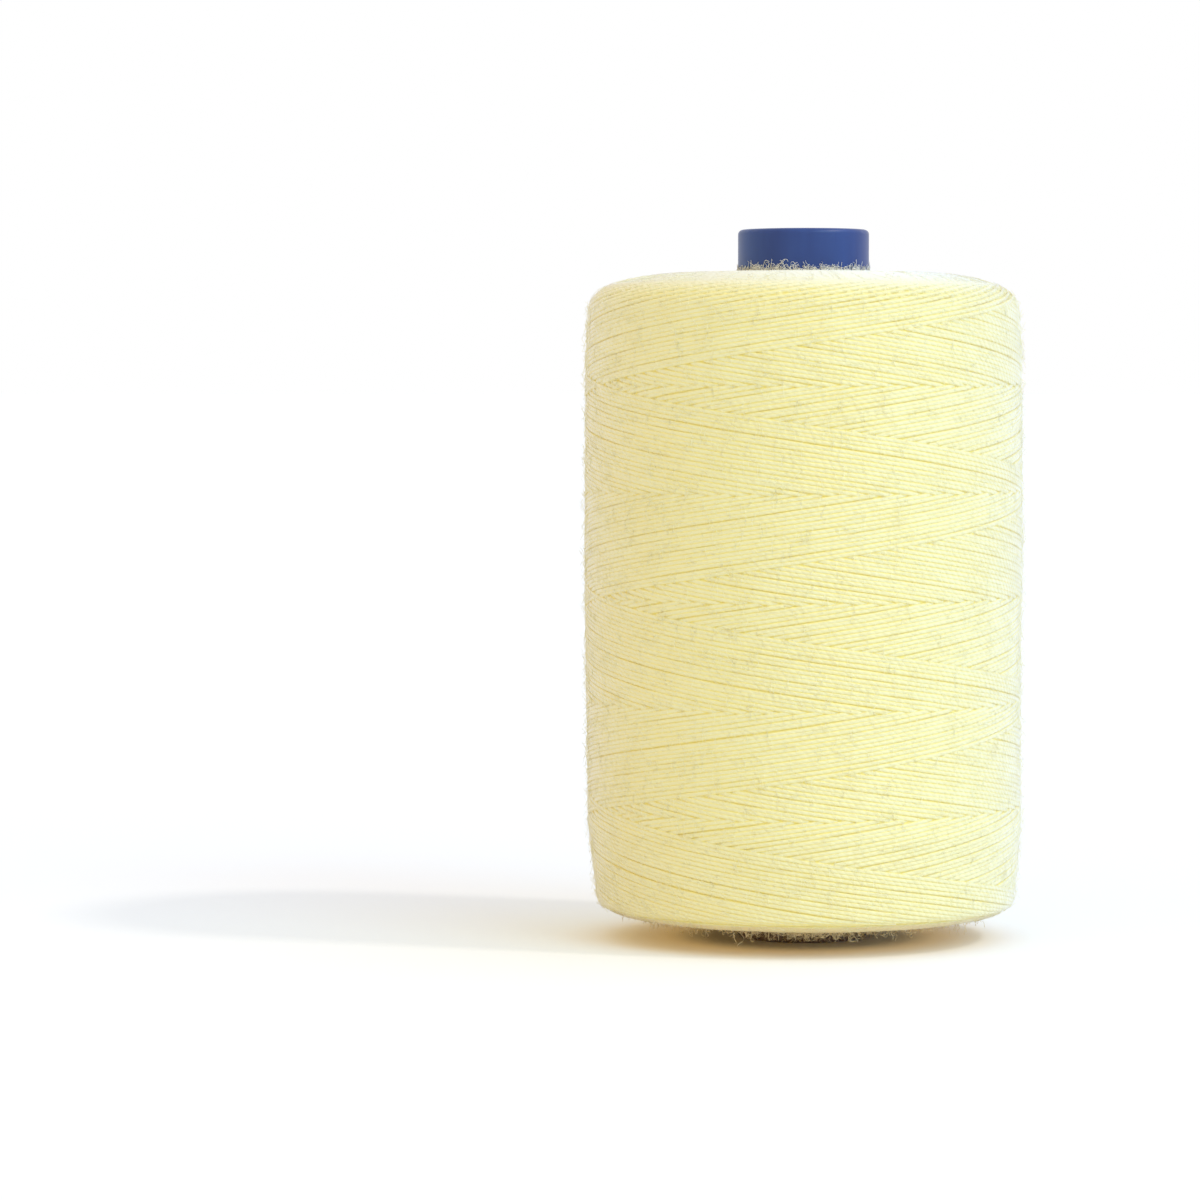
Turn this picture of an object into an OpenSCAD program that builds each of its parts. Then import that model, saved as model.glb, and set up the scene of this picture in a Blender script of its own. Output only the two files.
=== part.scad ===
// Spool of sewing thread: a moulded tube, the thread packed on it and the outermost
// turns. All sizes in millimetres, +Z up, origin at the middle of the tube's lower
// rim, on the surface that the spool stands on.

/* [Tube] */
// Diameter of the hole that goes over a spool pin
bore_d = 9.6; // [7:0.2:14]
// Thickness of the tube's wall
tube_wall = 1.2; // [0.8:0.1:2.4]
// Length of bare tube under the winding, which the spool stands on
foot_l = 2.2; // [1:0.1:6]
// Length of bare tube above the winding
neck_l = 4; // [2:0.2:14]
// Rounding of the outer edge of both rims
rim_r = 0.45; // [0.1:0.05:0.6]
// Bevel of both mouths of the hole
mouth_bevel = 0.3; // [0.1:0.05:0.4]

/* [Winding] */
// Largest diameter over the outermost turns
winding_d = 40.2; // [34:0.2:56]
// Height of the winding along the tube
winding_h = 58.8; // [44:0.2:90]
// Inward reach of the upper shoulder
upper_shoulder_w = 8; // [3:0.5:9]
// Height of the upper shoulder
upper_shoulder_h = 3.2; // [1.6:0.2:4.8]
// Inward reach of the lower shoulder
lower_shoulder_w = 3; // [1:0.5:6]
// Height of the lower shoulder
lower_shoulder_h = 1.6; // [0.8:0.2:4]
// How much the radius narrows towards the upper shoulder
upper_taper_w = 0.4; // [0:0.1:1.5]
// Height over which it does so, shoulder included
upper_taper_h = 7; // [5:0.5:12]
// How much the radius narrows towards the lower shoulder
lower_taper_w = 0.9; // [0:0.1:1.5]
// Height over which it does so, shoulder included
lower_taper_h = 8.5; // [5:0.5:12]

/* [Outermost turns] */
// Thickness of a drawn turn, which stands for a band of real ones
turn_d = 1.85; // [1:0.05:2.4]
// Least space between neighbouring turns
turn_gap = 0.43; // [0.42:0.01:1.2]
// Space between the turns and the packed thread under them
lay_clearance = 0.02; // [0.01:0.01:0.2]
// Distance from the winding's upper face to the middle of the last turn
upper_turn_inset = 2.6; // [2:0.1:6]
// Distance from the winding's lower face to the middle of the first turn
lower_turn_inset = 1.1; // [1:0.1:6]
// Where the turns start and stop, counted from +X as seen from above
end_angle = 90; // [0:15:345]

/* [Hidden] */

round_fn = 96;
edge_fn = 32;
bore_r = bore_d / 2;
tube_r = bore_r + tube_wall;
tube_l = foot_l + winding_h + neck_l;
// Neither the rounding nor the bevel takes more than this share of a thin wall.
edge_share = 0.45;
round_edge = min(rim_r, edge_share * tube_wall);
mouth_edge = min(mouth_bevel, edge_share * tube_wall);

winding_r = winding_d / 2;
first_turn_z = lower_turn_inset;
last_turn_z = winding_h - upper_turn_inset;
turns = floor((last_turn_z - first_turn_z) / (turn_d + turn_gap));

// One turn has this many straight pieces, of a tube with this many flat sides.
turn_steps = 24;
turn_sides = 6;
step_angle = 360 / turn_steps;
side_angle = 360 / turn_sides;
step_rise = (last_turn_z - first_turn_z) / (turns * turn_steps);

// A straight piece lies this much nearer the axis than its ends do.
chord_sag = winding_r * (1 - cos(step_angle / 2));
core_depth = turn_d / 2 * (1 + cos(side_angle / 2)) + chord_sag + lay_clearance;

// How far an elliptical shoulder of width w and height h has drawn in, at a distance s
// from the winding's end.
function shoulder_drop(s, w, h) = s >= h ? 0 : w * (1 - sqrt(1 - pow((h - s) / h, 2)));

// How far a straight taper of width w and height h has drawn in, at a distance s from
// the winding's end.
function taper_drop(s, w, h) = s >= h ? 0 : w * (h - s) / h;

// Radius over the winding, at a height z above its lower face
function outer_radius(z) = winding_r
    - shoulder_drop(z, lower_shoulder_w, lower_shoulder_h)
    - taper_drop(z, lower_taper_w, lower_taper_h)
    - shoulder_drop(winding_h - z, upper_shoulder_w, upper_shoulder_h)
    - taper_drop(winding_h - z, upper_taper_w, upper_taper_h);

// Radius of the packed thread, which fills the winding but for the outermost turns
function core_radius(z) = min(
    outer_radius(z),
    outer_radius(min(max(z, first_turn_z), last_turn_z)) - core_depth
);

// Heights that follow an elliptical shoulder of height h in even steps of its angle,
// counted from the winding's end
shoulder_steps = 6;
function shoulder_heights(h) = [
    for (i = [0 : shoulder_steps]) h * (1 - cos(90 * i / shoulder_steps))
];
lower_heights = [each shoulder_heights(lower_shoulder_h), lower_taper_h];
upper_heights = [each shoulder_heights(upper_shoulder_h), upper_taper_h];
core_heights = [
    each lower_heights,
    for (i = [len(upper_heights) - 1 : -1 : 0]) winding_h - upper_heights[i]
];

function unit(v) = v / norm(v);

// Middle of the wound thread, step_angle further round and step_rise higher each step
function wound_point(i) = let(
        z = first_turn_z + i * step_rise,
        r = outer_radius(z) - turn_d / 2,
        a = end_angle + i * step_angle
    )
    [r * cos(a), r * sin(a), z];
wound_points = [for (i = [0 : turns * turn_steps]) wound_point(i)];

// Both of its ends run straight on for one diameter.
last = len(wound_points) - 1;
thread_points = [
    wound_points[0] - turn_d * unit(wound_points[1] - wound_points[0]),
    each wound_points,
    wound_points[last] + turn_d * unit(wound_points[last] - wound_points[last - 1])
];
ring_count = len(thread_points);

// Corners of the wound thread round point i, with a flat side towards the axis
function thread_ring(i) = let(
        ahead = thread_points[min(i + 1, ring_count - 1)],
        behind = thread_points[max(i - 1, 0)],
        along = unit(ahead - behind),
        middle = thread_points[i],
        radial = [middle.x, middle.y, 0],
        outward = unit(radial - (radial * along) * along),
        across = cross(along, outward)
    )
    [
        for (s = [0 : turn_sides - 1]) let(a = side_angle * (s + 0.5))
            middle + turn_d / 2 * (cos(a) * outward + sin(a) * across)
    ];

// Least space between stretches of the wound thread half a turn apart or more
least_gap = min([
    for (i = [0 : ring_count - 1], j = [i + turn_steps / 2 : 1 : ring_count - 1])
        norm(thread_points[i] - thread_points[j])
]) - turn_d;
echo(turns = turns, least_gap = least_gap);

// Section through one side of the tube's wall, with bevelled mouths and rounded rims
module wall_section() {
    polygon([
        [bore_r, mouth_edge],
        [bore_r + mouth_edge, 0],
        [tube_r - round_edge, 0],
        [tube_r - round_edge, tube_l],
        [bore_r + mouth_edge, tube_l],
        [bore_r, tube_l - mouth_edge]
    ]);
    translate([tube_r - round_edge, round_edge])
        square([round_edge, tube_l - 2 * round_edge]);
    for (z = [round_edge, tube_l - round_edge])
        translate([tube_r - round_edge, z])
            circle(round_edge, $fn = edge_fn);
}

// Moulded tube that the thread is wound on
module spool_tube() {
    color([0.25, 0.32, 0.55])
        rotate_extrude($fn = round_fn)
            wall_section();
}

// The thread packed under the outermost turns, tight on the tube
module inner_winding() {
    color([0.9, 0.86, 0.6])
        translate([0, 0, foot_l])
            rotate_extrude($fn = round_fn)
                polygon([
                    [tube_r, 0],
                    for (z = core_heights) [core_radius(z), z],
                    [tube_r, winding_h]
                ]);
}

// The outermost turns, one unbroken thread
module outer_winding() {
    corners = [for (i = [0 : ring_count - 1]) each thread_ring(i)];
    last_ring = (ring_count - 1) * turn_sides;
    sides = [
        for (i = [0 : ring_count - 2], s = [0 : turn_sides - 1])
            let(
                a = i * turn_sides + s,
                b = i * turn_sides + (s + 1) % turn_sides
            )
            each [
                [a, b, b + turn_sides],
                [a, b + turn_sides, a + turn_sides]
            ]
    ];
    caps = [
        for (s = [1 : turn_sides - 2])
            each [[0, s + 1, s], [last_ring, last_ring + s, last_ring + s + 1]]
    ];
    color([0.96, 0.93, 0.72])
        translate([0, 0, foot_l])
            polyhedron(corners, [each sides, each caps]);
}

spool_tube();
inner_winding();
outer_winding();
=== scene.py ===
"""Spool of sewing thread: a moulded tube and one long thread wound on it turn by turn.

The packed frame gives the tube, and the height and diameter of the winding. The thread
is laid as a winding machine lays it: it rises and falls in trips, each trip starts a
little further round than the last one, and a newer stretch crosses over an older one.
All lengths are metres in the frame of the model, +Z up, the tube's lower rim on z = 0.
"""

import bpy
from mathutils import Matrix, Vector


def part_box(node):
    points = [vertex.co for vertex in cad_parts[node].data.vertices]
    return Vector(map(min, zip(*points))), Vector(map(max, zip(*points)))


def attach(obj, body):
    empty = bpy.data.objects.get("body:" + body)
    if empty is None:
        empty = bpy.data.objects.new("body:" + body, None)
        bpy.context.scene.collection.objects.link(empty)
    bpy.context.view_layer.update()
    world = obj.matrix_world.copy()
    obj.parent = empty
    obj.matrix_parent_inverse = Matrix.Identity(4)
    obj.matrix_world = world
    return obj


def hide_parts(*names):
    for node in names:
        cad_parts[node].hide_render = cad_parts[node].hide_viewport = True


bl_info = {
    "name": "Spool of Thread",
    "version": (1, 0, 0),
    "blender": (4, 5, 0),
    "location": "3D View > Sidebar > Spool",
    "description": "Finishes a moulded spool tube and winds sewing thread on it",
    "category": "Object",
}

import math

import bmesh
import bpy
import numpy as np
from bpy.props import FloatProperty, FloatVectorProperty, IntProperty, PointerProperty
from mathutils import Vector

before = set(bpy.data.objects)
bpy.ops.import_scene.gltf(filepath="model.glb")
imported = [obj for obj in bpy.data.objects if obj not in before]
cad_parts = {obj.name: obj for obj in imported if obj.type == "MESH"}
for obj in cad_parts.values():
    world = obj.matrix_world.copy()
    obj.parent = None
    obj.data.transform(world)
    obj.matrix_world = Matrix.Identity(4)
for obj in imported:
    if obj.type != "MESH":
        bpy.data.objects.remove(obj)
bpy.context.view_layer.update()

MM = 0.001
BODY = "root"
TUBE_LOW, TUBE_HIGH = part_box("spool_tube")
PACK_LOW, PACK_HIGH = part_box("inner_winding")
TURNS_LOW, TURNS_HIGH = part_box("outer_winding")
TUBE_RADIUS = (TUBE_HIGH[0] - TUBE_LOW[0]) / 2
WINDING_RADIUS = (TURNS_HIGH[0] - TURNS_LOW[0]) / 2
WINDING_BOTTOM = PACK_LOW[2]
WINDING_HEIGHT = PACK_HIGH[2] - PACK_LOW[2]
WINDING_TOP = WINDING_BOTTOM + WINDING_HEIGHT
# Closing many ends at once is slow, so fibres are closed this many at a time.
BATCH = 400
# A loose fibre has no twist to show, so any length of twist and three sides do.
FIBRE_SIDES = 3
FIBRE_TWIST = 1.0


# ---------------------------------------------------------------- settings


def linear(hex_colour):
    """The linear red, green and blue of an sRGB hex colour."""
    parts = [int(hex_colour[i : i + 2], 16) / 255 for i in (0, 2, 4)]
    return tuple(
        c / 12.92 if c <= 0.04045 else ((c + 0.055) / 1.055) ** 2.4 for c in parts
    )


def length(name, description, default):
    """A length property, in metres."""
    return FloatProperty(
        name=name,
        description=description,
        default=default,
        subtype="DISTANCE",
        unit="LENGTH",
        precision=5,
    )


def colour(name, description, hex_colour):
    """A colour property, whose default is written as sRGB hex."""
    return FloatVectorProperty(
        name=name,
        description=description,
        default=linear(hex_colour),
        size=3,
        min=0,
        max=1,
        subtype="COLOR",
    )


def angle(name, description, degrees):
    """An angle property. Seen from above, angles turn from +X towards +Y."""
    return FloatProperty(
        name=name,
        description=description,
        default=math.radians(degrees),
        subtype="ANGLE",
    )


class SpoolTubeSettings(bpy.types.PropertyGroup):
    """Finish of the moulded tube."""

    plastic: colour("Plastic", "Colour of the moulded plastic", "2B4780")
    plastic_dark: colour("Plastic, darker", "Its darker flow marks", "223A70")
    # Painted shade: the foot is painted a darker brown where it stands in the shade under the
    # winding.
    foot_shade: colour("Grime", "Colour that the foot has picked up", "8F7552")
    foot_shade_height: length("Grime height", "How far up the foot it reaches", 3.2 * MM)


class SpoolWindingSettings(bpy.types.PropertyGroup):
    """Shape of the wound package."""

    upper_shoulder_width: length("Upper shoulder width", "How far it reaches in", 8 * MM)
    upper_shoulder_height: length("Upper shoulder height", "How high it is", 3.2 * MM)
    lower_shoulder_width: length("Lower shoulder width", "How far it reaches in", 3 * MM)
    lower_shoulder_height: length("Lower shoulder height", "How high it is", 1.6 * MM)
    upper_taper_width: length("Upper taper width", "How far the side draws in", 0.4 * MM)
    upper_taper_height: length("Upper taper height", "Where that starts", 7 * MM)
    lower_taper_width: length("Lower taper width", "How far the side draws in", 0.9 * MM)
    lower_taper_height: length("Lower taper height", "Where that starts", 8.5 * MM)
    swell: length("Swell", "How far the side stands out high up and in low down", 0.1 * MM)
    upper_turn_inset: length("Upper turning points", "From the upper face", 1.2 * MM)
    lower_turn_inset: length("Lower turning points", "From the lower face", 1.1 * MM)
    face_crown: length("Crown", "How far the end faces bulge by the tube", 0.1 * MM)
    lean: length("Lean", "How far the lower end stands off the axis, to +X", 0.3 * MM)


class SpoolThreadSettings(bpy.types.PropertyGroup):
    """The thread and how it is laid."""

    # A real thread is finer than the 0.39 mm that its turns lie apart. It is drawn
    # coarser, so that they cover those below them.
    width: length("Width", "Width of the thread, pressed flat a little", 0.47 * MM)
    thickness: length("Thickness", "Thickness of the flattened thread", 0.21 * MM)
    twist: length("Twist", "Length of one full twist of its two plies", 1.45 * MM)
    ply_depth: length("Ply depth", "Depth of the groove between its plies", 0.028 * MM)
    plies: IntProperty(name="Plies", description="Strands twisted together", default=2)
    sides: IntProperty(name="Sides", description="Sides of its section", default=8)
    unevenness: FloatProperty(
        name="Unevenness",
        description="How much its width changes along it",
        default=0.05,
        subtype="FACTOR",
    )
    sink: FloatProperty(
        name="Sink",
        description="How far a crossed stretch sinks, in thread thicknesses",
        default=0.8,
    )
    wander: length("Wander", "How far a turn strays along the tube", 0.04 * MM)
    trips: IntProperty(name="Trips", description="Trips up and down", default=48)
    stroke_turns: IntProperty(name="Turns", description="Turns in a stroke", default=3)
    first_turn: angle("Newest turning point", "Where the newest trip starts", 15)
    fibre: colour("Fibre", "Colour of the thread", "EEEBB1")
    # Also painted shade: on the upper face turns this deeper tone fills their grooves.
    shade: colour("Shade", "Colour of its deeper or denser stretches", "EEE59F")
    # Painted shade: a deeper yellow for the grooves between turns, where shade falls.
    painted_groove_shade: colour("Flank", "Colour where the turns press on each other", "F6E882")
    # Painted shade: an orange-yellow for the grooves of the lower face turns, standing in for
    # the shade and warm bounce light underneath.
    inner: colour("Inner", "Colour of the turns inside the winding", "F0DA94")
    # Painted light: a paler colour near the upper face, where the shoulder turns up towards
    # the light.
    painted_top_light: colour("Worn", "Colour of the fuzzier turns by the upper face", "F6F5DC")
    painted_top_light_height: length("Worn height", "How far down from that face they reach", 2.4 * MM)


class SpoolFibreSettings(bpy.types.PropertyGroup):
    """Loose fibres that stand out of the thread."""

    # A real fibre is about 0.012 mm thick, too fine to show, so they are drawn coarser.
    thickness: length("Thickness", "Diameter of a curled fibre", 0.04 * MM)
    fuzz_thickness: length("Fuzz thickness", "Diameter of a fuzz fibre", 0.025 * MM)
    neck_count: IntProperty(name="At the neck", description="Fibres", default=1500)
    foot_count: IntProperty(name="At the foot", description="Fibres", default=1400)
    edge_count: IntProperty(name="At the lower edge", description="Fibres", default=1500)
    fuzz_count: IntProperty(name="Fuzz", description="Fibres on the side", default=18000)
    fuzz_length: length("Fuzz length", "Length of the longest fuzz fibre", 1.6 * MM)
    fuzz_lift: length("Fuzz lift", "How far the highest fuzz fibre lifts", 0.55 * MM)
    reach: length("Reach", "Length of the longest curled fibre", 2.0 * MM)
    fuzz_tint: colour("Fuzz tint", "Colour of the short fuzz", "FBF7C8")
    curl_tint: colour("Curl tint", "Colour of a clean curled fibre", "FFFBE4")
    # Painted shade: the curled fibres underneath get a darker tan copy of their colour, for
    # the shade they hang in.
    shaded_fibre_tint: colour("Soiled tint", "Colour of a curled fibre underneath", "F2DDA2")


class SpoolStageSettings(bpy.types.PropertyGroup):
    """Floor, light and camera."""

    floor: colour("Floor", "Colour of the floor", "EFEEEE")
    floor_shown: colour("Floor as shown", "Its colour before its own light", "DCE0DE")
    lift: FloatProperty(name="Lift", description="Floor's own light", default=0.26)
    lift_tint: colour("Lift tint", "Its colour beside the spool", "FFF1D2")
    # Painted warm bounce light on the floor under the spool.
    painted_bounce_tint: colour("Contact tint", "Its colour under the spool", "FFCA78")
    wall: FloatProperty(name="Wall", description="Light from -X", default=0.82)
    wall_tint: colour("Wall tint", "Its colour", "FFE4A0")
    window: FloatProperty(name="Window", description="Light from +X", default=1.66)
    window_tint: colour("Window tint", "Its colour", "A9C6FF")
    room: FloatProperty(name="Room", description="Light from the front", default=0.35)
    room_tint: colour("Room tint", "Its colour", "FFC86B")
    key: FloatProperty(name="Key", description="Strength of the key light", default=0.7)
    key_tint: colour("Key tint", "Colour of the key light", "FFF2E6")
    key_height: angle("Key height", "How high the key light stands", 48)
    key_side: angle("Key side", "Where the key light stands, seen from above", -21)
    front: FloatProperty(name="Front", description="Strength of the front light", default=0.84)
    front_tint: colour("Front tint", "Colour of the front light", "B9E6FF")
    front_height: angle("Front height", "How high the front light stands", 30)
    front_side: angle("Front side", "Where the front light stands, seen from above", -48)


SETTINGS = {
    "spool_tube_finish": SpoolTubeSettings,
    "spool_winding": SpoolWindingSettings,
    "spool_thread": SpoolThreadSettings,
    "spool_fibres": SpoolFibreSettings,
    "spool_stage": SpoolStageSettings,
}


# ---------------------------------------------------------------- materials


def add_node(tree, kind, settings=None, **links):
    """Adds a node, sets its attributes or sockets, and links sockets to its inputs."""
    node = tree.nodes.new(kind)
    for name, value in (settings or {}).items():
        if isinstance(name, int) or not hasattr(node, name):
            node.inputs[name].default_value = value
        else:
            setattr(node, name, value)
    for name, socket in links.items():
        key = int(name[1:]) if name[1:].isdigit() else name.replace("_", " ")
        tree.links.new(socket, node.inputs[key])
    return node


def new_material(name):
    """An empty material with its tree and output node."""
    material = bpy.data.materials.new(name)
    material.use_nodes = True
    tree = material.node_tree
    tree.nodes.clear()
    output = tree.nodes.new("ShaderNodeOutputMaterial")
    return material, tree, output


def with_alpha(rgb):
    """A colour socket's four numbers."""
    return (*rgb, 1.0)


def moulded_polypropylene(tube):
    """Injection-moulded polypropylene: an even colour with faint flow marks, and a soft
    gloss that shows the room as pale, blurred bands. Its foot is painted darker, as painted
    shade."""
    flow_mark = 4 * MM
    # The marks are drawn out four times along the tube.
    drawn_out = (1, 1, 0.25)
    # The grain of a fine mould is finer, and is drawn coarser here so that it shows.
    grain_size = 0.25 * MM
    grain_depth = 0.01 * MM
    # Painted shade: the foot is at its darkest below this share of the painted shade's height.
    darkest_share = 0.6
    material, tree, output = new_material("moulded_polypropylene")
    place = add_node(tree, "ShaderNodeTexCoord").outputs["Object"]
    stretched = add_node(
        tree, "ShaderNodeMapping", {"Scale": drawn_out}, Vector=place
    ).outputs[0]
    flow = add_node(
        tree,
        "ShaderNodeTexNoise",
        {"Scale": 1 / flow_mark, "Detail": 3.0, "Roughness": 0.5},
        Vector=stretched,
    ).outputs["Fac"]
    hue = add_node(tree, "ShaderNodeValToRGB", Fac=flow)
    hue.color_ramp.elements[0].position = 0.35
    hue.color_ramp.elements[0].color = with_alpha(tube.plastic_dark)
    hue.color_ramp.elements[1].position = 0.65
    hue.color_ramp.elements[1].color = with_alpha(tube.plastic)
    height = add_node(tree, "ShaderNodeSeparateXYZ", Vector=place).outputs[2]
    # Painted shade: the foot turns a darker brown towards its bottom, standing in for the
    # shade under the winding.
    shaded_foot = add_node(
        tree,
        "ShaderNodeMapRange",
        {
            "From Min": tube.foot_shade_height,
            "From Max": darkest_share * tube.foot_shade_height,
            "To Max": 0.85,
        },
        Value=height,
    ).outputs[0]
    hue = add_node(
        tree,
        "ShaderNodeMix",
        {"data_type": "RGBA", 7: with_alpha(tube.foot_shade)},
        i0=shaded_foot,
        i6=hue.outputs[0],
    )
    grain = add_node(
        tree,
        "ShaderNodeTexNoise",
        {"Scale": 1 / grain_size, "Detail": 2.0},
        Vector=place,
    ).outputs["Fac"]
    polish = add_node(
        tree,
        "ShaderNodeMapRange",
        {"To Min": 0.3, "To Max": 0.42},
        Value=flow,
    ).outputs[0]
    surface = add_node(
        tree,
        "ShaderNodeBump",
        {"Strength": 0.25, "Distance": grain_depth},
        Height=grain,
    ).outputs[0]
    shader = add_node(
        tree,
        "ShaderNodeBsdfPrincipled",
        {"IOR": 1.49, "Specular IOR Level": 0.4},
        Base_Color=hue.outputs[2],
        Roughness=polish,
        Normal=surface,
    )
    tree.links.new(shader.outputs[0], output.inputs["Surface"])
    return material


def paint_top_light(tree, hue, height, thread):
    """The thread's colour, painted paler near the upper face as painted light on the shoulder.
    """
    share = add_node(
        tree,
        "ShaderNodeMapRange",
        {
            "interpolation_type": "SMOOTHSTEP",
            "From Min": WINDING_TOP - thread.painted_top_light_height,
            "From Max": WINDING_TOP,
        },
        Value=height,
    ).outputs[0]
    return add_node(
        tree,
        "ShaderNodeMix",
        {"data_type": "RGBA", 7: with_alpha(thread.painted_top_light)},
        i0=share,
        i6=hue,
    ).outputs[2]


def spun_polyester(name, thread, painted_groove_shade):
    """Two-ply spun polyester thread: matt, with a pale sheen from its short fibres, and
    a row of beads where the plies twist round each other. The flanks of each turn are
    painted a deeper yellow as painted shade between turns, and the turns are painted
    paler near the upper face as painted light."""
    # The dye took a little unevenly, in clouds of this size.
    cloud_size = 3 * MM
    material, tree, output = new_material(name)
    place = add_node(tree, "ShaderNodeTexCoord")
    cloudy = add_node(
        tree,
        "ShaderNodeTexNoise",
        {"Scale": 1 / cloud_size, "Detail": 2.0},
        Vector=place.outputs["Object"],
    ).outputs["Fac"]
    hue = add_node(
        tree,
        "ShaderNodeMix",
        {"data_type": "RGBA", 6: with_alpha(thread.shade), 7: with_alpha(thread.fibre)},
        i0=cloudy,
    ).outputs[2]
    along = add_node(tree, "ShaderNodeSeparateXYZ", Vector=place.outputs["UV"])
    # The section's first corner is half a side past the outermost line.
    place_round = add_node(
        tree,
        "ShaderNodeMath",
        {"operation": "MULTIPLY_ADD", 1: 2 * math.pi, 2: -math.pi / thread.sides},
        i0=along.outputs[0],
    ).outputs[0]
    sideways = add_node(
        tree, "ShaderNodeMath", {"operation": "SINE"}, i0=place_round
    ).outputs[0]
    to_groove = add_node(
        tree, "ShaderNodeMath", {"operation": "ABSOLUTE"}, i0=sideways
    ).outputs[0]
    # Painted shade: the flanks of each turn are mixed towards a deeper yellow that stands in
    # for the shade between neighbouring turns.
    groove_shade_share = add_node(
        tree,
        "ShaderNodeMapRange",
        {"interpolation_type": "SMOOTHSTEP", "From Min": 0.35, "From Max": 0.9},
        Value=to_groove,
    ).outputs[0]
    hue = add_node(
        tree,
        "ShaderNodeMix",
        {"data_type": "RGBA", 7: with_alpha(painted_groove_shade)},
        i0=groove_shade_share,
        i6=hue,
    ).outputs[2]
    height = add_node(tree, "ShaderNodeSeparateXYZ", Vector=place.outputs["Object"])
    hue = paint_top_light(tree, hue, height.outputs[2], thread)
    # A groove runs between the plies and winds round the thread once in a twist.
    turned = add_node(
        tree,
        "ShaderNodeMath",
        {"operation": "MULTIPLY_ADD", 1: thread.plies},
        i0=along.outputs[0],
        i2=along.outputs[1],
    ).outputs[0]
    across = add_node(
        tree, "ShaderNodeMath", {"operation": "MULTIPLY", 1: math.pi}, i0=turned
    ).outputs[0]
    wave = add_node(tree, "ShaderNodeMath", {"operation": "SINE"}, i0=across).outputs[0]
    rounded = add_node(
        tree, "ShaderNodeMath", {"operation": "ABSOLUTE"}, i0=wave
    ).outputs[0]
    surface = add_node(
        tree,
        "ShaderNodeBump",
        {"Strength": 1.0, "Distance": thread.ply_depth},
        Height=rounded,
    ).outputs[0]
    shader = add_node(
        tree,
        "ShaderNodeBsdfPrincipled",
        {"Roughness": 0.5, "Sheen Weight": 0.9, "Sheen Roughness": 0.5, "IOR": 1.5},
        Base_Color=hue,
        Normal=surface,
    )
    tree.links.new(shader.outputs[0], output.inputs["Surface"])
    return material


def packed_polyester(thread):
    """The same thread, packed under the outermost turns: it shows only between them, in
    the deeper yellow of the painted shade between turns, ribbed as the turns lie."""
    material, tree, output = new_material("packed_polyester_thread")
    place = add_node(tree, "ShaderNodeTexCoord").outputs["Object"]
    height = add_node(tree, "ShaderNodeSeparateXYZ", Vector=place).outputs[2]
    turn = add_node(
        tree,
        "ShaderNodeMath",
        {"operation": "MULTIPLY", 1: 1 / thread.thickness},
        i0=height,
    ).outputs[0]
    rib = add_node(
        tree, "ShaderNodeMath", {"operation": "PINGPONG", 1: 0.5}, i0=turn
    ).outputs[0]
    surface = add_node(
        tree,
        "ShaderNodeBump",
        {"Strength": 0.8, "Distance": thread.thickness / 2},
        Height=rib,
    ).outputs[0]
    # Painted shade: the deeper yellow of the grooves between turns.
    hue = add_node(tree, "ShaderNodeRGB").outputs[0]
    hue.default_value = with_alpha(thread.painted_groove_shade)
    shader = add_node(
        tree,
        "ShaderNodeBsdfPrincipled",
        {"Roughness": 0.8, "Sheen Weight": 0.2},
        Base_Color=paint_top_light(tree, hue, height, thread),
        Normal=surface,
    )
    tree.links.new(shader.outputs[0], output.inputs["Surface"])
    return material


def loose_fibre(name, tint):
    """Single polyester fibres: thin and pale, with a soft sheen."""
    material, tree, output = new_material(name)
    shader = add_node(
        tree,
        "ShaderNodeBsdfPrincipled",
        {
            "Base Color": with_alpha(tint),
            "Roughness": 0.5,
            "Sheen Weight": 0.4,
        },
    )
    tree.links.new(shader.outputs[0], output.inputs["Surface"])
    return material


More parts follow.
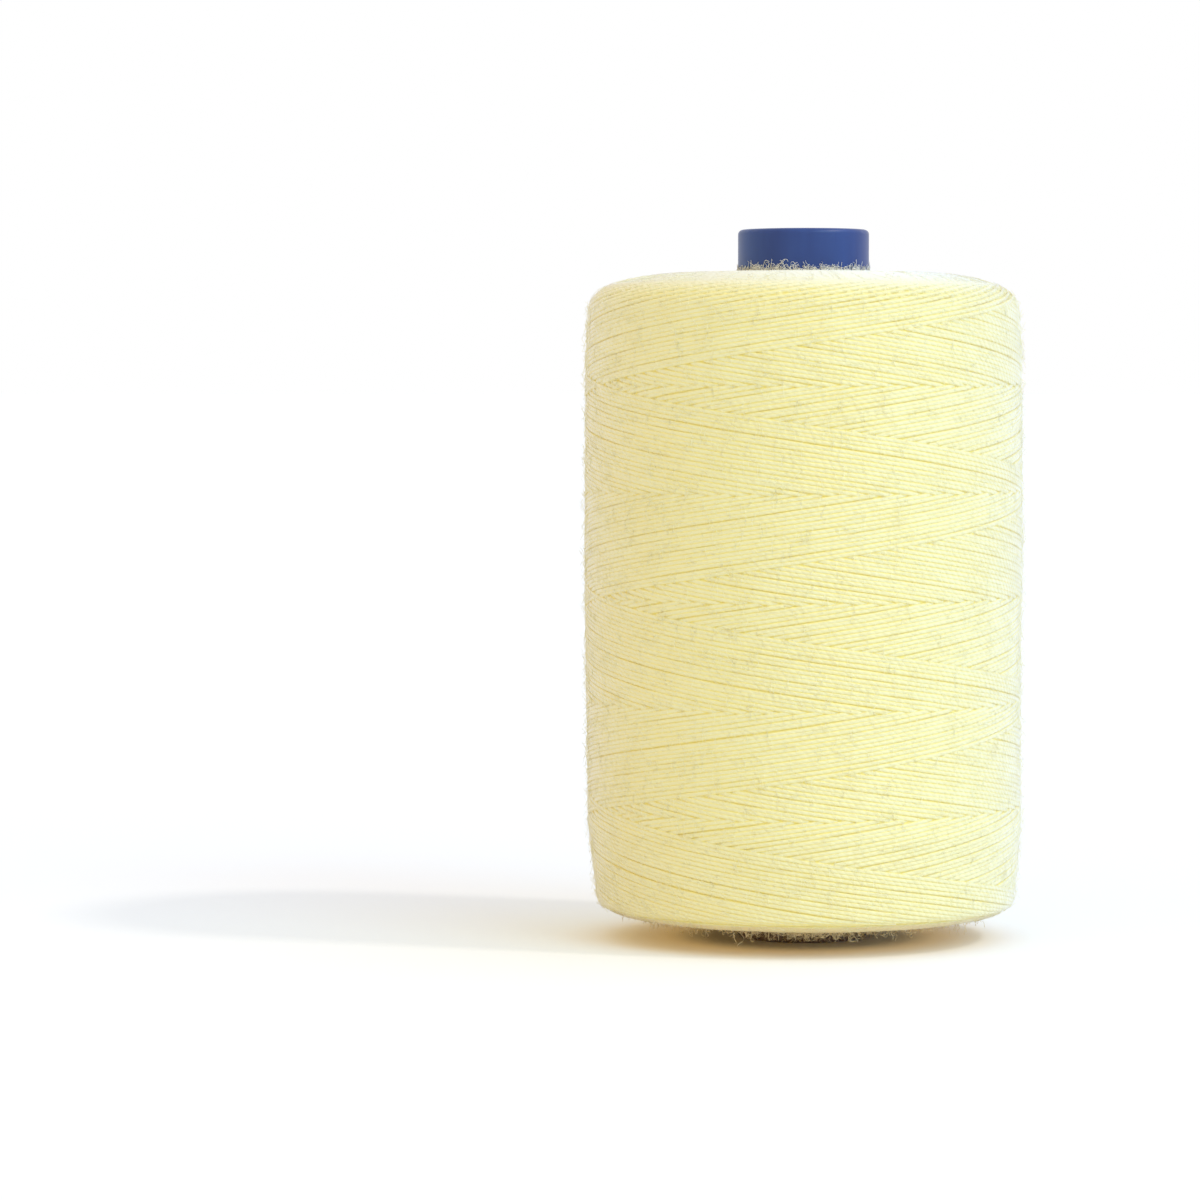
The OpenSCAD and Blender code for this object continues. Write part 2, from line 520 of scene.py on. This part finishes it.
def floor_paper(stage):
    """Seamless backdrop paper, matt and white. The camera sees it in a slightly darker
    colour, raised to white by a light of its own, which lights nothing else, so the
    shadow stays on it. Under the spool that light is weaker and warmer: painted shade
    and a painted warm bounce light on the floor there."""
    # Painted shade under the spool: distances from the axis between which its own light comes
    # to full strength.
    dark_radius = 0.4 * WINDING_RADIUS
    full_radius = 0.65 * WINDING_RADIUS
    # Painted bounce light: distances between which it turns from the warm tint to the plain
    # one.
    warm_radius = 0.55 * WINDING_RADIUS
    plain_radius = 1.2 * WINDING_RADIUS
    # Its strength by the tube, as a share of the full one.
    darkest = 0.1
    material, tree, output = new_material("backdrop_paper")
    seen = add_node(tree, "ShaderNodeLightPath").outputs["Is Camera Ray"]
    hue = add_node(
        tree,
        "ShaderNodeMix",
        {
            "data_type": "RGBA",
            6: with_alpha(stage.floor),
            7: with_alpha(stage.floor_shown),
        },
        i0=seen,
    ).outputs[2]
    paper = add_node(tree, "ShaderNodeBsdfDiffuse", Color=hue).outputs[0]
    place = add_node(tree, "ShaderNodeTexCoord").outputs["Object"]
    distance = add_node(
        tree, "ShaderNodeVectorMath", {"operation": "LENGTH"}, i0=place
    ).outputs["Value"]
    beside = add_node(
        tree,
        "ShaderNodeMapRange",
        {
            "interpolation_type": "SMOOTHSTEP",
            "From Min": warm_radius,
            "From Max": plain_radius,
        },
        Value=distance,
    ).outputs[0]
    tint = add_node(
        tree,
        "ShaderNodeMix",
        {
            "data_type": "RGBA",
            6: with_alpha(stage.painted_bounce_tint),
            7: with_alpha(stage.lift_tint),
        },
        i0=beside,
    ).outputs[2]
    deep = add_node(
        tree,
        "ShaderNodeMapRange",
        {
            "interpolation_type": "SMOOTHSTEP",
            "From Min": dark_radius,
            "From Max": full_radius,
            "To Min": darkest * stage.lift,
            "To Max": stage.lift,
        },
        Value=distance,
    ).outputs[0]
    lift = add_node(
        tree, "ShaderNodeMath", {"operation": "MULTIPLY"}, i0=seen, i1=deep
    ).outputs[0]
    glow = add_node(tree, "ShaderNodeEmission", Color=tint, Strength=lift).outputs[0]
    both = add_node(tree, "ShaderNodeAddShader", i0=paper, i1=glow).outputs[0]
    tree.links.new(both, output.inputs["Surface"])
    return material


# ---------------------------------------------------------------- shape of the package


def shoulder_drop(distance, width, height):
    """How far an elliptical shoulder has drawn in at a distance from the end face."""
    share = np.clip((height - distance) / height, 0, 1)
    return width * (1 - np.sqrt(1 - share**2))


def taper_drop(distance, width, height):
    """How far a straight taper has drawn in at a distance from the end face."""
    return width * np.clip((height - distance) / height, 0, 1)


def outer_radius(z, shape):
    """Radius over the outermost turns at a height z above the winding's lower face."""
    # The side is slimmest at this share of the height, and fullest half the height above.
    slimmest = 0.12
    from_top = WINDING_HEIGHT - z
    swell = -shape.swell * np.cos(2 * math.pi * (z / WINDING_HEIGHT - slimmest))
    return (
        WINDING_RADIUS
        + swell * np.sin(math.pi * np.clip(z / WINDING_HEIGHT, 0, 1))
        - shoulder_drop(z, shape.lower_shoulder_width, shape.lower_shoulder_height)
        - taper_drop(z, shape.lower_taper_width, shape.lower_taper_height)
        - shoulder_drop(from_top, shape.upper_shoulder_width, shape.upper_shoulder_height)
        - taper_drop(from_top, shape.upper_taper_width, shape.upper_taper_height)
    )


def axis_shift(z, shape):
    """How far the winding's middle stands off the tube's axis at a height z."""
    return shape.lean * np.clip(1 - 2 * z / WINDING_HEIGHT, 0, 1) ** 2


# ---------------------------------------------------------------- making pieces


def new_piece(name, mesh, material, replaced=()):
    """Shows a mesh as a piece of the spool that rides on it."""
    piece = bpy.data.objects.new(name, mesh)
    bpy.context.scene.collection.objects.link(piece)
    mesh.materials.clear()
    mesh.materials.append(material)
    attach(piece, BODY)
    if replaced:
        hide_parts(*replaced)


def oval_profile(width, thickness, sides):
    """A closed curve, the section of a yarn: its width lies along the tube."""
    oval = bpy.data.curves.new("yarn_section", "CURVE")
    oval.dimensions = "2D"
    spline = oval.splines.new("POLY")
    spline.use_cyclic_u = True
    spline.points.add(sides - 1)
    turn = -(np.arange(sides) + 0.5) * 2 * math.pi / sides
    across = np.column_stack(
        [thickness / 2 * np.cos(turn), width / 2 * np.sin(turn), 0 * turn, 1 + 0 * turn]
    )
    spline.points.foreach_set("co", across.ravel())
    return bpy.data.objects.new("yarn_section", oval)


def yarn_curve(name, paths, section, swellings):
    """A curve object of yarns along paths, with the given section."""
    curve = bpy.data.curves.new(name, "CURVE")
    curve.dimensions = "3D"
    curve.twist_mode = "Z_UP"
    curve.bevel_mode = "OBJECT"
    curve.bevel_object = section
    for path, swelling in zip(paths, swellings):
        spline = curve.splines.new("POLY")
        spline.points.add(len(path) - 1)
        spline.points.foreach_set("co", np.column_stack([path, np.ones(len(path))]).ravel())
        spline.points.foreach_set("radius", swelling)
    carrier = bpy.data.objects.new(name, curve)
    bpy.context.scene.collection.objects.link(carrier)
    return carrier


def map_yarn(mesh, paths, sides, twist):
    """Lays the UV map of yarns: U once round, V along by one for each half twist."""
    along = []
    for path in paths:
        steps = np.linalg.norm(np.diff(path, axis=0), axis=1)
        along.append(np.concatenate([[0], np.cumsum(steps)]) * 2 / twist)
    corners = np.empty(len(mesh.loops), np.int32)
    mesh.loops.foreach_get("vertex_index", corners)
    side = (corners % sides).reshape(-1, 4)
    wraps = (side == 0) & (side.max(axis=1) == sides - 1)[:, None]
    around = 1 - np.where(wraps, sides, side) / sides
    half_twists = np.concatenate(along)[corners // sides].reshape(-1, 4)
    places = np.dstack([around, half_twists]).astype(np.float32)
    mesh.uv_layers[0].data.foreach_set("uv", places.ravel())


def yarn_mesh(name, paths, width, thickness, sides, twist, swellings=None):
    """A mesh of oval yarns with closed ends along paths, each an array of points."""
    section = oval_profile(width, thickness, sides)
    swellings = swellings or [np.ones(len(path)) for path in paths]
    batches = [slice(first, first + BATCH) for first in range(0, len(paths), BATCH)]
    carriers = [
        yarn_curve(name, paths[batch], section, swellings[batch]) for batch in batches
    ]
    graph = bpy.context.evaluated_depsgraph_get()
    whole = bmesh.new()
    for batch, carrier in zip(batches, carriers):
        part = bpy.data.meshes.new_from_object(carrier.evaluated_get(graph))
        map_yarn(part, paths[batch], sides, twist)
        solid = bmesh.new()
        solid.from_mesh(part)
        ends = [edge for edge in solid.edges if edge.is_boundary]
        bmesh.ops.edgeloop_fill(solid, edges=ends)
        solid.to_mesh(part)
        solid.free()
        whole.from_mesh(part)
        bpy.data.meshes.remove(part)
    for face in whole.faces:
        face.smooth = True
    mesh = bpy.data.meshes.new(name)
    whole.to_mesh(mesh)
    whole.free()
    for spent in (*carriers, section):
        data = spent.data
        bpy.data.objects.remove(spent)
        bpy.data.curves.remove(data)
    return mesh


def ring_points(radius, angle, z, shape):
    """Points at a radius, an angle and a height above the winding's lower face."""
    return np.column_stack(
        [
            radius * np.cos(angle) + axis_shift(z, shape),
            radius * np.sin(angle),
            z + WINDING_BOTTOM,
        ]
    )


# ---------------------------------------------------------------- operators


class SPOOL_OT_finish_tube(bpy.types.Operator):
    """Give the moulded tube its plastic"""

    bl_idname = "spool.finish_tube"
    bl_label = "Finish the tube"

    def execute(self, context):
        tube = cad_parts["spool_tube"]
        plastic = moulded_polypropylene(context.scene.spool_tube_finish)
        for place in tube.material_slots:
            place.material = plastic
        return {"FINISHED"}


class SPOOL_OT_pack_thread(bpy.types.Operator):
    """Turn the body of packed thread that the outermost turns lie on"""

    bl_idname = "spool.pack_thread"
    bl_label = "Pack the inner turns"

    # How deep it lies under the outermost turns, in thread thicknesses.
    depth_share = 0.6
    lower_shoulder_rings = 8
    side_rings = 20
    upper_shoulder_rings = 12
    segments = 96
    # The side's rings keep this far from the lower and from the upper face.
    clear_of_lower = 4 * MM
    clear_of_upper = 5 * MM

    def execute(self, context):
        shape = context.scene.spool_winding
        thread = context.scene.spool_thread
        depth = self.depth_share * thread.thickness
        lower_arc = np.linspace(0, math.pi / 2, self.lower_shoulder_rings)
        upper_arc = np.linspace(math.pi / 2, 0, self.upper_shoulder_rings)
        side = np.linspace(
            self.clear_of_lower, WINDING_HEIGHT - self.clear_of_upper, self.side_rings
        )
        heights = np.concatenate(
            [
                shape.lower_shoulder_height * (1 - np.cos(lower_arc)),
                side,
                WINDING_HEIGHT - shape.upper_shoulder_height * (1 - np.cos(upper_arc)),
            ]
        )
        radii = outer_radius(heights, shape) - depth
        squeezed = depth + heights * (1 - 2 * depth / WINDING_HEIGHT) + WINDING_BOTTOM
        body = bmesh.new()
        profile = [body.verts.new((TUBE_RADIUS, 0, squeezed[0]))]
        profile += [body.verts.new((r, 0, z)) for r, z in zip(radii, squeezed)]
        profile.append(body.verts.new((TUBE_RADIUS, 0, squeezed[-1])))
        loop = profile + profile[:1]
        edges = [body.edges.new(pair) for pair in zip(loop, loop[1:])]
        bmesh.ops.spin(
            body,
            geom=edges,
            axis=(0, 0, 1),
            angle=2 * math.pi,
            steps=self.segments,
            use_merge=True,
        )
        bmesh.ops.recalc_face_normals(body, faces=body.faces)
        for corner in body.verts:
            corner.co.x += axis_shift(corner.co.z - WINDING_BOTTOM, shape)
        for face in body.faces:
            face.smooth = True
        mesh = bpy.data.meshes.new("packed_thread")
        body.to_mesh(mesh)
        body.free()
        new_piece(
            "packed_thread", mesh, packed_polyester(thread), ["inner_winding"]
        )
        return {"FINISHED"}


class SPOOL_OT_wind_turns(bpy.types.Operator):
    """Wind the outermost turns, each newer one over the older ones that it crosses"""

    bl_idname = "spool.wind_turns"
    bl_label = "Wind the outermost turns"

    pieces = 4
    # A turning point is eased over this many path points on both sides of it.
    turn_back = 6
    # How far whole strokes stand off their place, as a share of the wander.
    stroke_stray = 0.6
    # Waves of a turn's height, its depth and its width, from slow to quick: how large,
    # as a share, how many of them to a turn, and which of the random phases each has.
    height_waves = ((0.9, 0.9, 4), (0.3, 2.3, 0), (0.24, 11.3, 1), (0.2, 25.7, 2))
    depth_waves = ((0.24, 17.3, 3),)
    width_waves = ((0.5, 7.3, 1), (0.5, 17.9, 0))
    phase_count = 5

    def execute(self, context):
        shape = context.scene.spool_winding
        thread = context.scene.spool_thread
        trips = thread.trips
        # Neighbouring stretches cross every half thread spacing round the tube. The
        # path has one point at each crossing.
        crossings_per_turn = 2 * trips
        stroke_steps = thread.stroke_turns * crossings_per_turn + 1
        trip_steps = 2 * stroke_steps
        step = np.arange(trips * trip_steps + 1)
        trip = np.minimum(step // trip_steps, trips - 1)
        on_trip = step - trip * trip_steps
        rising = on_trip < stroke_steps
        on_stroke = np.where(rising, on_trip, on_trip - stroke_steps)

        # Which trip's stretch is crossed here, and whether that one is the newer.
        crossed = np.where(rising, trip + on_stroke - 1, trip + on_stroke) % trips
        covered = np.where(rising, crossed >= trip, crossed > trip)

        # Height: up and down again, with a short parabola for each turning point.
        climb = np.where(rising, on_stroke, stroke_steps - on_stroke).astype(float)
        near_end = np.minimum(climb, stroke_steps - climb)
        rounded = (near_end**2 + self.turn_back**2) / (2 * self.turn_back)
        eased = np.where(near_end < self.turn_back, rounded, near_end)
        share = np.where(climb < stroke_steps / 2, eased, stroke_steps - eased)
        share = (share - self.turn_back / 2) / (stroke_steps - self.turn_back)
        lowest = shape.lower_turn_inset
        highest = WINDING_HEIGHT - shape.upper_turn_inset
        z = lowest + (highest - lowest) * share

        newest_start = thread.first_turn
        first_start = newest_start - 2 * math.pi * (trips - 1) / trips
        angle = first_start + 2 * math.pi * step / crossings_per_turn

        chance = np.random.default_rng(7)
        strays = chance.normal(0, thread.wander * self.stroke_stray, trips * 2)
        stroke = np.where(rising, trip * 2, trip * 2 + 1)
        phases = chance.uniform(0, 2 * math.pi, (trips * 2, self.phase_count))
        z_wave, depth_wave, width_wave = (
            sum(
                size * np.sin(angle * rate + phases[stroke, phase])
                for size, rate, phase in waves
            )
            for waves in (self.height_waves, self.depth_waves, self.width_waves)
        )
        z = z + strays[stroke] + thread.wander * z_wave

        sunk = covered * thread.sink * thread.thickness
        ridden = thread.wander * depth_wave
        radius = outer_radius(z, shape) - thread.thickness / 2 - sunk + ridden
        points = ring_points(radius, angle, z, shape)
        slubs = 1 + thread.unevenness * width_wave

        material = spun_polyester("spun_polyester_thread", thread, thread.painted_groove_shade)
        cuts = np.linspace(0, len(points) - 1, self.pieces + 1).astype(int)
        for number, (start, stop) in enumerate(zip(cuts, cuts[1:]), 1):
            name = f"outer_turns_{number}"
            stretch = slice(start, stop + 1)
            mesh = yarn_mesh(
                name,
                [points[stretch]],
                thread.width,
                thread.thickness,
                thread.sides,
                thread.twist,
                [slubs[stretch]],
            )
            new_piece(name, mesh, material, ["outer_winding"])
        return {"FINISHED"}


class SPOOL_OT_face_turns(bpy.types.Operator):
    """Lay the turning points of the inner turns, which are all that both end faces show"""

    bl_idname = "spool.face_turns"
    bl_label = "Lay the turns of the end faces"

    # A ring has at least this many turns, and one for each such length of its radius.
    fewest = 6
    radius_per_turn = 1.6 * MM
    # Each turn shows for this length, and this angle more, on both sides of its middle.
    half_length = 4.5 * MM
    half_angle = 0.35
    path_points = 12
    stray = 0.05 * MM
    # How steeply both ends of a turn dive into the winding.
    dive_share = 0.075
    # Rings lie this many thread thicknesses apart.
    ring_spacing = 0.9
    # The outermost ring lies this share of the shoulder's width inside the side.
    inside = 0.25

    def execute(self, context):
        shape = context.scene.spool_winding
        thread = context.scene.spool_thread
        chance = np.random.default_rng(11)
        # Painted shade: the grooves of the face turns are painted deeper, most on the lower
        # face.
        for name, upward, painted_groove_shade in (
            ("upper_face_turns", True, thread.shade),
            ("lower_face_turns", False, thread.inner),
        ):
            material = spun_polyester(f"spun_polyester_{name}", thread, painted_groove_shade)
            width = shape.upper_shoulder_width if upward else shape.lower_shoulder_width
            height = shape.upper_shoulder_height if upward else shape.lower_shoulder_height
            taper = shape.upper_taper_width if upward else shape.lower_taper_width
            side = WINDING_RADIUS - taper
            paths = []
            radius = TUBE_RADIUS + thread.thickness / 2
            while radius < side - self.inside * width:
                count = max(self.fewest, int(radius / self.radius_per_turn))
                reach = self.half_length / radius + self.half_angle
                offset = np.linspace(-reach, reach, self.path_points)
                turning = (np.arange(count) + chance.uniform()) * 2 * math.pi / count
                for middle in turning:
                    r = radius + chance.normal(0, self.stray)
                    over = np.clip((r - (side - width)) / width, 0, 1)
                    drop = height * (1 - math.sqrt(1 - over**2))
                    to_side = (r - TUBE_RADIUS) / (side - TUBE_RADIUS)
                    crown = shape.face_crown * (1 - to_side)
                    dive = self.dive_share * r * offset**2
                    depth = drop - crown + thread.width / 2 + dive
                    z = WINDING_HEIGHT - depth if upward else depth
                    paths.append(ring_points(r, middle + offset, z, shape))
                radius += thread.thickness * self.ring_spacing
            mesh = yarn_mesh(
                name,
                paths,
                thread.width,
                thread.thickness,
                thread.sides,
                thread.twist,
            )
            new_piece(name, mesh, material)
        return {"FINISHED"}


class SPOOL_OT_loose_fibres(bpy.types.Operator):
    """Raise the curled fibres round both ends of the tube and along the lower edge"""

    bl_idname = "spool.loose_fibres"
    bl_label = "Raise the curled fibres"

    path_points = 11
    # The shortest fibre, as a share, before the power that makes short ones common.
    shortest = 0.38
    favour_short = 2.2
    # A fibre leaves its root roughly upright, and both bends one way and waves.
    first_lean = 0.8
    bend = 7.5
    wave_size = 1.3
    wave_rate = (3, 12)
    wave_start = (0, 6)
    outward = 0.04
    # Roots lie over this share of the spread.
    spread_used = 0.9
    # No fibre comes nearer than this to the surface that the spool stands on.
    floor_gap = 0.02 * MM

    def execute(self, context):
        fibres = context.scene.spool_fibres
        shape = context.scene.spool_winding
        # Painted shade: the fibres at the foot and the lower edge use a darker tan copy of the
        # fibre colour.
        lit = loose_fibre("curled_polyester_fibre", fibres.curl_tint)
        shaded = loose_fibre("soiled_polyester_fibre", fibres.shaded_fibre_tint)
        chance = np.random.default_rng(23)
        lower_edge = WINDING_RADIUS - shape.lower_shoulder_width
        # Roots lie between two radii, at a height over the winding's lower face or up to
        # the spread beyond it. Those of the lower edge gather at the front and the back.
        for name, material, count, gathered, near, far, base, spread, up in (
            ("neck_fibres", lit, fibres.neck_count, 0, TUBE_RADIUS + 0.02 * MM,
             TUBE_RADIUS + 0.09 * MM, WINDING_HEIGHT, 0, 1),
            ("foot_fibres", shaded, fibres.foot_count, 0, TUBE_RADIUS + 0.02 * MM,
             TUBE_RADIUS + 0.25 * MM, 0.2 * MM, WINDING_BOTTOM, -1),
            ("edge_fibres", shaded, fibres.edge_count, 0.38, lower_edge - 3.2 * MM,
             lower_edge - 0.1 * MM, 0.1 * MM, 0, -1),
        ):
            paths = []
            for _ in range(count):
                reach = fibres.reach * chance.uniform(self.shortest, 1) ** self.favour_short
                root = base + up * spread * chance.uniform(0, self.spread_used)
                angle = chance.uniform(0, 2 * math.pi)
                angle += gathered * math.sin(2 * angle)
                radius = chance.uniform(near, far)
                paths.append(self.curl(chance, angle, radius, root, up, reach, shape))
            mesh = yarn_mesh(
                name,
                paths,
                fibres.thickness,
                fibres.thickness,
                FIBRE_SIDES,
                FIBRE_TWIST,
            )
            new_piece(name, mesh, material)
        return {"FINISHED"}

    def curl(self, chance, angle, radius, root, up, reach, shape):
        """The path of one curled fibre that leaves its root upwards or downwards."""
        share = np.linspace(0, 1, self.path_points)
        heading = chance.normal(0, self.first_lean) + chance.normal(0, self.bend) * share
        rate = chance.uniform(*self.wave_rate)
        heading = heading + self.wave_size * np.sin(
            rate * share + chance.uniform(*self.wave_start)
        )
        pace = reach / len(share)
        side = np.cumsum(np.sin(heading)) * pace
        rise = np.abs(np.cumsum(np.cos(heading)) * pace)
        out = reach * chance.normal(0, self.outward) * share**2
        above_floor = np.maximum(root + up * rise, self.floor_gap - WINDING_BOTTOM)
        return ring_points(radius + out, angle + side / radius, above_floor, shape)


class SPOOL_OT_fuzz(bpy.types.Operator):
    """Cover the side of the winding with the short fuzz that spun thread has"""

    bl_idname = "spool.fuzz"
    bl_label = "Cover the side with fuzz"

    pieces = 3
    path_points = 5
    # Roots keep this far from both faces, and ends half as far.
    face_gap = 0.1 * MM
    # How deep the roots lie in the outermost turns.
    root_depth = 0.02 * MM
    shortest = 0.3
    lowest_lift = 0.1
    # Most fuzz lies low, and lifts more towards its end.
    favour_low = 2.2
    lift_curve = 1.5
    bend = 0.8

    def execute(self, context):
        fibres = context.scene.spool_fibres
        shape = context.scene.spool_winding
        material = loose_fibre("short_polyester_fibre", fibres.fuzz_tint)
        chance = np.random.default_rng(41)
        count = fibres.fuzz_count // self.pieces
        share = np.linspace(0, 1, self.path_points)
        root_gap = self.face_gap
        end_gap = self.face_gap / 2
        each = (count, 1)
        for number in range(1, self.pieces + 1):
            angle = chance.uniform(0, 2 * math.pi, each)
            z = chance.uniform(root_gap, WINDING_HEIGHT - root_gap, each)
            reach = fibres.fuzz_length * chance.uniform(self.shortest, 1, each)
            height = chance.uniform(self.lowest_lift, 1, each) ** self.favour_low
            lift = fibres.fuzz_lift * height
            heading = chance.uniform(0, 2 * math.pi, each)
            heading = heading + chance.normal(0, self.bend, each) * share
            z = z + reach * share * np.sin(heading)
            z = np.clip(z, end_gap, WINDING_HEIGHT - end_gap)
            radius = outer_radius(z, shape) - self.root_depth + lift * share**self.lift_curve
            angle = angle + reach * share * np.cos(heading) / WINDING_RADIUS
            points = ring_points(radius.ravel(), angle.ravel(), z.ravel(), shape)
            name = f"side_fuzz_{number}"
            mesh = yarn_mesh(
                name,
                points.reshape(count, self.path_points, 3),
                fibres.fuzz_thickness,
                fibres.fuzz_thickness,
                FIBRE_SIDES,
                FIBRE_TWIST,
            )
            new_piece(name, mesh, material)
        return {"FINISHED"}


class SPOOL_OT_stage(bpy.types.Operator):
    """Set the floor, the light and the camera"""

    bl_idname = "spool.stage"
    bl_label = "Set the stage"

    # The frame is square and this many pixels wide, and the next three are in pixels:
    # the focal length, the column of the spool's axis and the row of the horizon.
    frame_px = 1200
    focal_px = 4656
    axis_px = 803
    horizon_px = 386
    sensor_mm = 36
    distance = 428 * MM
    camera_height = 50.7 * MM
    # What the camera shows lies between these distances, the far end of the floor too.
    nearest = 0.01
    farthest = 200
    floor_half = 30.0
    # How broad the two lights look, in degrees.
    key_breadth = 6
    front_breadth = 36
    # Light goes to and fro between the turns, and in the gap under the winding, more
    # often than the default allows.
    bounces = 16

    def execute(self, context):
        stage = context.scene.spool_stage
        scene = context.scene

        paper = bmesh.new()
        bmesh.ops.create_grid(paper, x_segments=1, y_segments=1, size=self.floor_half)
        mesh = bpy.data.meshes.new("floor")
        paper.to_mesh(mesh)
        paper.free()
        floor = bpy.data.objects.new("floor", mesh)
        mesh.materials.append(floor_paper(stage))
        scene.collection.objects.link(floor)

        room = bpy.data.worlds.new("studio_room")
        room.use_nodes = True
        tree = room.node_tree
        tree.nodes.clear()
        path = add_node(tree, "ShaderNodeLightPath")
        seen = add_node(
            tree,
            "ShaderNodeMath",
            {"operation": "MAXIMUM"},
            i0=path.outputs["Is Camera Ray"],
            i1=path.outputs["Is Glossy Ray"],
        ).outputs[0]
        seen = add_node(
            tree,
            "ShaderNodeMath",
            {"operation": "MAXIMUM"},
            i0=seen,
            i1=path.outputs["Is Transmission Ray"],
        ).outputs[0]
        # Each of the three is strongest straight from its own side, and falls off evenly.
        toward = add_node(tree, "ShaderNodeTexCoord").outputs["Generated"]
        heading = add_node(tree, "ShaderNodeSeparateXYZ", Vector=toward).outputs
        from_wall, from_window, from_front = (
            add_node(
                tree,
                "ShaderNodeMapRange",
                {"From Min": nothing, "From Max": full},
                Value=heading[axis],
            ).outputs[0]
            for axis, nothing, full in ((0, 1, -1), (0, -1, 1), (1, 0, -1))
        )
        glow = add_node(tree, "ShaderNodeCombineXYZ").outputs[0]
        for name, share in (
            ("wall", from_wall),
            ("window", from_window),
            ("room", from_front),
        ):
            tint = Vector(getattr(stage, name + "_tint")) * getattr(stage, name)
            glow = add_node(
                tree,
                "ShaderNodeVectorMath",
                {"operation": "MULTIPLY_ADD", "name": name, 1: tint},
                i0=share,
                i2=glow,
            ).outputs[0]
        shown = add_node(
            tree,
            "ShaderNodeMix",
            {"data_type": "RGBA", 7: (1, 1, 1, 1)},
            i0=seen,
            i6=glow,
        ).outputs[2]
        sky = add_node(tree, "ShaderNodeBackground", Color=shown).outputs[0]
        output = tree.nodes.new("ShaderNodeOutputWorld")
        tree.links.new(sky, output.inputs["Surface"])
        scene.world = room

        for name, breadth in (("key", self.key_breadth), ("front", self.front_breadth)):
            aside = getattr(stage, name + "_side")
            height = getattr(stage, name + "_height")
            light = bpy.data.lights.new(name + "_light", "SUN")
            light.energy = getattr(stage, name)
            light.angle = math.radians(breadth)
            light.color = getattr(stage, name + "_tint")
            toward = Vector(
                (
                    math.cos(aside) * math.cos(height),
                    math.sin(aside) * math.cos(height),
                    math.sin(height),
                )
            )
            lamp = bpy.data.objects.new(name + "_light", light)
            lamp.rotation_euler = toward.to_track_quat("Z", "Y").to_euler()
            lamp.location = toward
            scene.collection.objects.link(lamp)

        centre_px = self.frame_px / 2
        data = bpy.data.cameras.new("camera")
        data.sensor_width = self.sensor_mm
        data.lens = self.focal_px / self.frame_px * data.sensor_width
        data.clip_start = self.nearest
        data.clip_end = self.farthest
        camera = bpy.data.objects.new("camera", data)
        pitch = math.atan((centre_px - self.horizon_px) / self.focal_px)
        aside = (self.axis_px - centre_px) / self.focal_px * self.distance
        camera.location = (-aside, -self.distance, self.camera_height)
        camera.rotation_euler = (math.pi / 2 - pitch, 0, 0)
        scene.collection.objects.link(camera)
        scene.camera = camera
        scene.view_settings.view_transform = "Standard"
        scene.cycles.diffuse_bounces = self.bounces
        scene.cycles.max_bounces = self.bounces
        return {"FINISHED"}


OPERATORS = (
    SPOOL_OT_stage,
    SPOOL_OT_finish_tube,
    SPOOL_OT_pack_thread,
    SPOOL_OT_wind_turns,
    SPOOL_OT_face_turns,
    SPOOL_OT_loose_fibres,
    SPOOL_OT_fuzz,
)


class SPOOL_PT_panel(bpy.types.Panel):
    """The steps that finish a spool of thread, in their order"""

    bl_label = "Spool of Thread"
    bl_idname = "SPOOL_PT_panel"
    bl_space_type = "VIEW_3D"
    bl_region_type = "UI"
    bl_category = "Spool"

    def draw(self, context):
        for operator in OPERATORS:
            self.layout.operator(operator.bl_idname)
        for group, kind in SETTINGS.items():
            box = self.layout.box()
            box.label(text=kind.__doc__)
            for name in kind.__annotations__:
                box.prop(getattr(context.scene, group), name)


CLASSES = (*SETTINGS.values(), *OPERATORS, SPOOL_PT_panel)


def register():
    for kind in CLASSES:
        bpy.utils.register_class(kind)
    for name, kind in SETTINGS.items():
        setattr(bpy.types.Scene, name, PointerProperty(type=kind))


def unregister():
    for name in SETTINGS:
        delattr(bpy.types.Scene, name)
    for kind in reversed(CLASSES):
        bpy.utils.unregister_class(kind)


def main():
    """Registers the add-on and makes the spool."""
    register()
    for operator in OPERATORS:
        group, name = operator.bl_idname.split(".")
        getattr(getattr(bpy.ops, group), name)()


if __name__ == "__main__":
    main()
